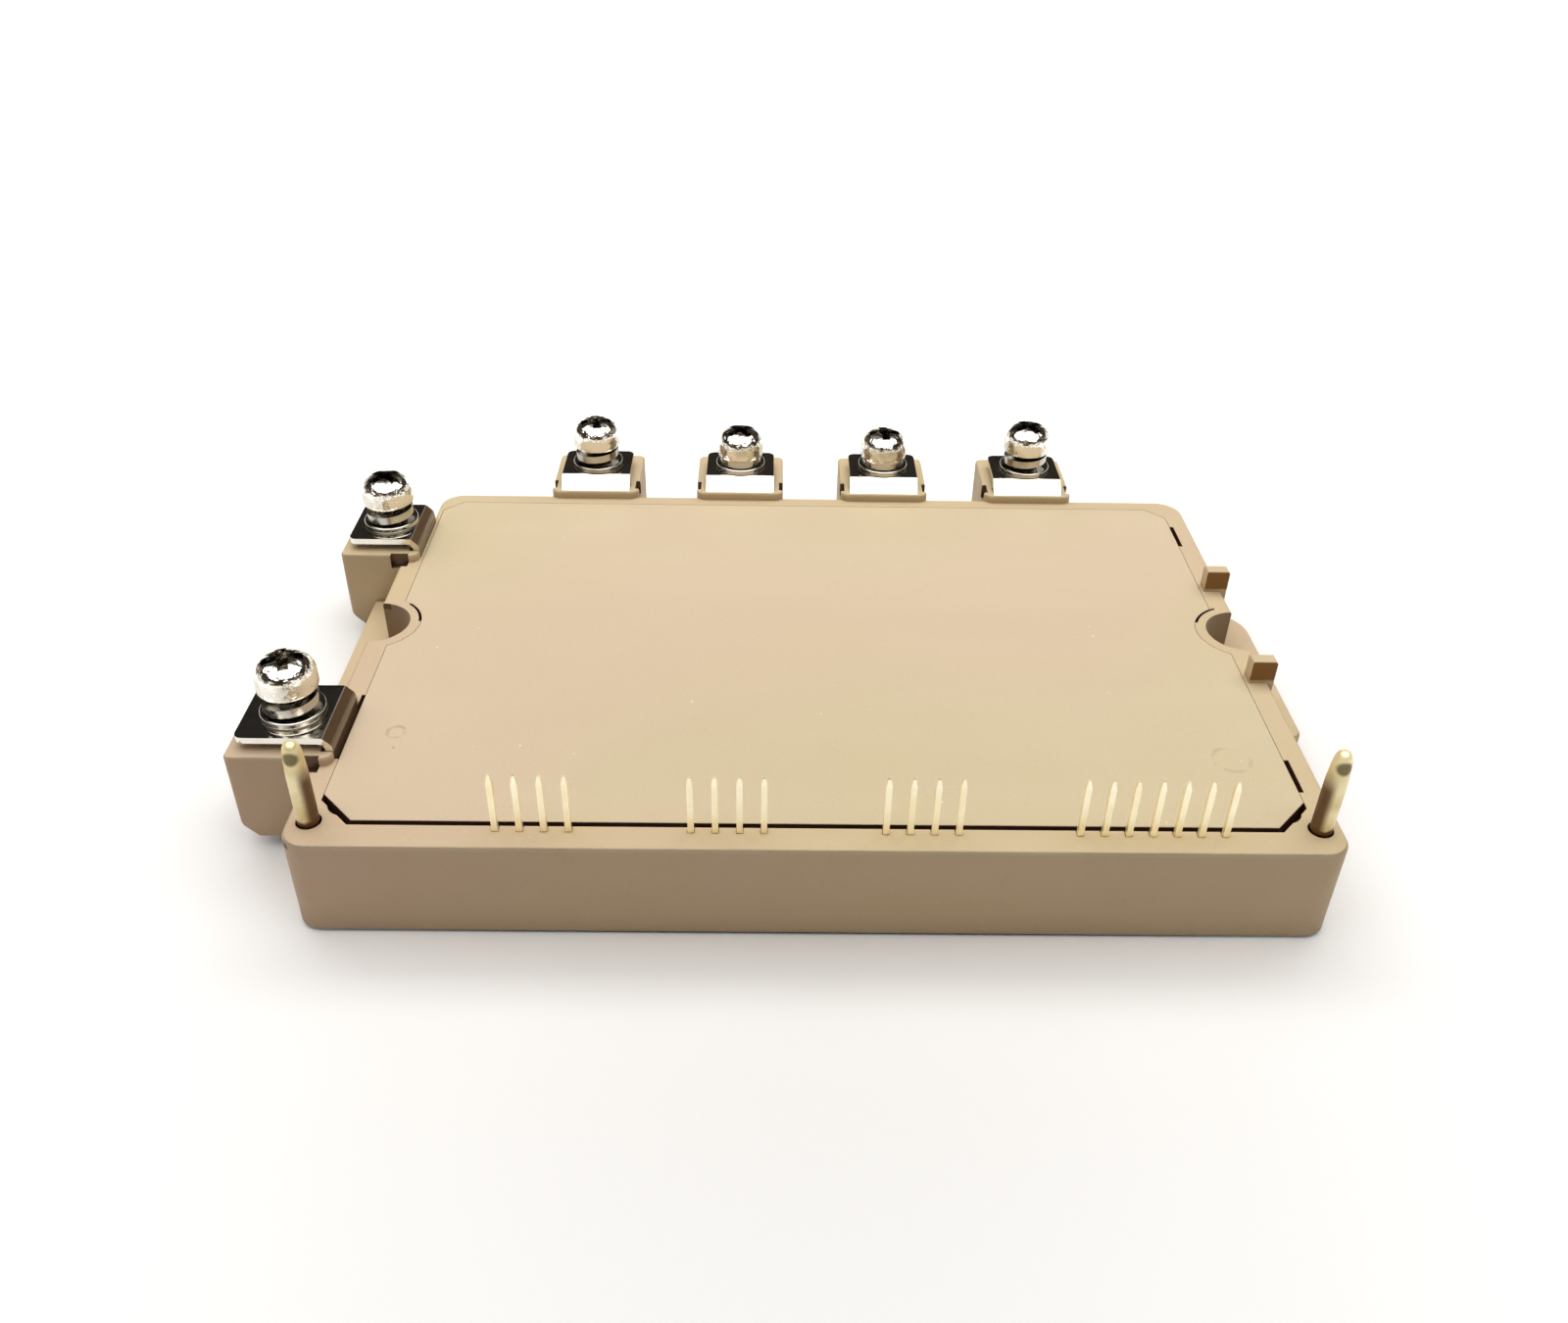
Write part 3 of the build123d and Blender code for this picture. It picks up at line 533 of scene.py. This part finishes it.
def recess_arm(centre, top, angle):
    """Makes one tapered slot of the cross that is sunk into a screw head."""
    x, y = centre
    mesh = bmesh.new()
    rings = []
    for height, arm, width in ((top + 1, RECESS_ARM, RECESS_HALF_WIDTH),
                               (top - RECESS_DEPTH, RECESS_ARM * RECESS_TAPER,
                                RECESS_HALF_WIDTH * RECESS_TAPER)):
        rings.append([mesh.verts.new(Vector((x + along * cos(angle) - across * sin(angle),
                                             y + along * sin(angle) + across * cos(angle),
                                             height)) * MM)
                      for along, across in ((arm, width), (-arm, width), (-arm, -width),
                                            (arm, -width))])
    skin(mesh, rings)
    mesh.faces.new(rings[0])
    mesh.faces.new(rings[-1][::-1])
    return as_object(mesh, "recess", smooth=False)


def make_guide_pins():
    """Turned guide pins with rounded shoulders."""
    for side, name in ((-1, "guide_pin_left"), (1, "guide_pin_right")):
        mesh = bmesh.new()
        lathe(mesh, GUIDE_PROFILE, (side * GUIDE_X, GUIDE_Y), GUIDE_SEGMENTS)
        pin = as_object(mesh, name + "_turned")
        pin.data.materials.append(guide_brass("brass_" + name, side))
        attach(pin, "root")
        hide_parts(name)


def make_screws():
    """Terminal screws with domed heads, cross recesses and threads."""
    material = worn_metal("screw_steel", NICKEL_LIGHT, SCREW_DARK, (0.06, 0.22), dents=0.6,
                          shade_recesses=True, pits=0.7)
    for index, (x, y, lift, turn) in enumerate(SCREWS):
        seat = TAB_TOP + WASHER_STACK + lift
        top = seat + HEAD_HEIGHT
        profile = [(0, seat), (HEAD_RADIUS - HEAD_EDGE, seat),
                   (HEAD_RADIUS - HEAD_EDGE_MIDDLE, seat + HEAD_EDGE_MIDDLE),
                   (HEAD_RADIUS, seat + HEAD_EDGE)]
        for step in range(DOME_STEPS + 1):
            angle = step * pi / (2 * DOME_STEPS)
            profile.append((HEAD_RADIUS - HEAD_DOME * (1 - cos(angle)),
                            top - HEAD_DOME * (1 - sin(angle))))
        profile.append((0, top))
        mesh = bmesh.new()
        lathe(mesh, profile, (x, y), HEAD_SEGMENTS)
        head = as_object(mesh, "screw_head_%d" % index)
        carved(head, recess_arm((x, y), top, turn))
        carved(head, recess_arm((x, y), top, turn + pi / 2))
        mesh = bmesh.new()
        mesh.from_mesh(head.data)
        threaded_shank(mesh, (x, y), seat - SCREW_LENGTH, seat)
        bpy.data.objects.remove(head)
        screw = as_object(mesh, "terminal_screw_%d" % (index + 1))
        screw.data.materials.append(material)
        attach(screw, "root")
        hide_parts("terminal_screws")


def make_camera():
    """Camera at the photograph's place."""
    ahead = Vector((sin(CAMERA_YAW) * cos(CAMERA_PITCH), cos(CAMERA_YAW) * cos(CAMERA_PITCH),
                    -sin(CAMERA_PITCH)))
    level = Vector((cos(CAMERA_YAW), -sin(CAMERA_YAW), 0))
    above = level.cross(ahead)
    right = cos(CAMERA_ROLL) * level + sin(CAMERA_ROLL) * above
    up = -sin(CAMERA_ROLL) * level + cos(CAMERA_ROLL) * above
    data = bpy.data.cameras.new("camera")
    data.lens = CAMERA_LENS
    data.clip_start = 0.005
    camera = bpy.data.objects.new("camera", data)
    turn = Matrix((right, up, -ahead)).transposed().to_4x4()
    camera.matrix_world = Matrix.Translation(CAMERA_PLACE) @ turn
    bpy.context.scene.collection.objects.link(camera)
    bpy.context.scene.camera = camera


def make_lights():
    """Overhead light, and the panel that the metal mirrors."""
    for name, shift in (("panel", PANEL_SHIFT), ("key", KEY_SHIFT)):
        data = bpy.data.lights.new(name, "AREA")
        data.shape = "RECTANGLE"
        data.size = PANEL_WIDTH
        data.size_y = PANEL_DEPTH
        data.energy = PANEL_POWER
        data.color = LIGHT_COLOUR
        light = bpy.data.objects.new(name, data)
        light.location = (0, shift, PANEL_HEIGHT)
        light.visible_glossy = name == "panel"
        light.visible_diffuse = name == "key"
        bpy.context.scene.collection.objects.link(light)


def make_floor():
    """Floor that keeps the shadow."""
    half = FLOOR_SIZE / 2
    mesh = bpy.data.meshes.new("floor")
    mesh.from_pydata([(-half, -half, 0), (half, -half, 0), (half, half, 0), (-half, half, 0)],
                     [], [(0, 1, 2, 3)])
    mesh.materials.append(floor_finish())
    floor = bpy.data.objects.new("floor", mesh)
    floor.location.z = -FLOOR_DROP
    bpy.context.scene.collection.objects.link(floor)


def make_world():
    """White to the camera, dim to the object and banded in the metal."""
    world = bpy.data.worlds.new("studio")
    world.use_nodes = True
    tree = world.node_tree
    place = tree.nodes.new("ShaderNodeTexCoord")
    split = tree.nodes.new("ShaderNodeSeparateXYZ")
    ramp = tree.nodes.new("ShaderNodeValToRGB")
    tree.links.new(place.outputs["Generated"], split.inputs[0])
    tree.links.new(split.outputs["Z"], ramp.inputs["Fac"])
    path = tree.nodes.new("ShaderNodeLightPath")
    shade = tree.nodes.new("ShaderNodeMix")
    shade.data_type = "RGBA"
    shade.inputs[7].default_value = WORLD_DIFFUSE
    tree.links.new(path.outputs["Is Diffuse Ray"], shade.inputs[0])
    tree.links.new(ramp.outputs["Color"], shade.inputs[6])
    backdrop = tree.nodes.new("ShaderNodeMix")
    backdrop.data_type = "RGBA"
    backdrop.inputs[7].default_value = WHITE
    tree.links.new(path.outputs["Is Camera Ray"], backdrop.inputs[0])
    tree.links.new(shade.outputs[2], backdrop.inputs[6])
    tree.links.new(backdrop.outputs[2], tree.nodes["Background"].inputs["Color"])
    while len(ramp.color_ramp.elements) < len(WORLD_RAMP):
        ramp.color_ramp.elements.new(1.0)
    for stop, (position, colour) in zip(ramp.color_ramp.elements, WORLD_RAMP):
        stop.position = position
        stop.color = colour
    bpy.context.scene.world = world


dress(case_plastic("case_plastic"), "case_frame")
dress(lid_plastic("lid_plastic"), "lid")
dress(worn_metal("strap_nickel", NICKEL_LIGHT, NICKEL_DARK, (0.05, 0.12), (1, 1, 0.1),
                 dents=0.04),
      "strap_brake", *names_with("strap_phase"))
dress(worn_metal("strap_left", NICKEL_LIGHT, NICKEL_DARK, (0.05, 0.12), (1, 1, 0.1),
                 dents=0.04, shaded_side=1),
      "strap_positive", "strap_negative")
dress(worn_metal("washer_steel", WASHER_LIGHT, WASHER_DARK, (0.10, 0.26)),
      "spring_washers", "flat_washers")
dress(worn_metal("nut_steel", NICKEL_LIGHT, NICKEL_DARK, (0.25, 0.45)), "terminal_nuts")
dress(worn_metal("plated_copper", NICKEL_LIGHT, NICKEL_DARK, (0.25, 0.45), (0.1, 1, 1)),
      "baseplate")
dress(worn_metal("pin_gold", GOLD_LIGHT, GOLD_DARK, (0.38, 0.55), (1, 1, 0.1)),
      *names_with("control_pins_"))
dress(worn_metal("copper", COPPER_LIGHT, COPPER_DARK, (0.25, 0.45)),
      *names_with("circuit_copper"), *names_with("tile_solder_copper"))
dress(worn_metal("wire_aluminium", ALUMINIUM_LIGHT, ALUMINIUM_DARK, (0.2, 0.35)),
      *names_with("bond_wires"))
dress(laminate("board_laminate"), "control_board")
dress(soft_gel("gel"), "silicone_gel")
dress(grained("tile_ceramic", CERAMIC_DARK, CERAMIC_LIGHT, 0.45), *names_with("ceramic_tile"))
dress(grained("silicon", SILICON_DARK, SILICON_LIGHT, 0.15, Metallic=0.8),
      *names_with("igbt_chip"), *names_with("diode_chip"))
dress(grained("driver_plastic", DRIVER_DARK, DRIVER_LIGHT, 0.5), *names_with("driver_chip"))

make_guide_pins()
make_screws()
make_camera()
make_lights()
make_floor()
make_world()
bpy.context.scene.view_settings.view_transform = "Standard"
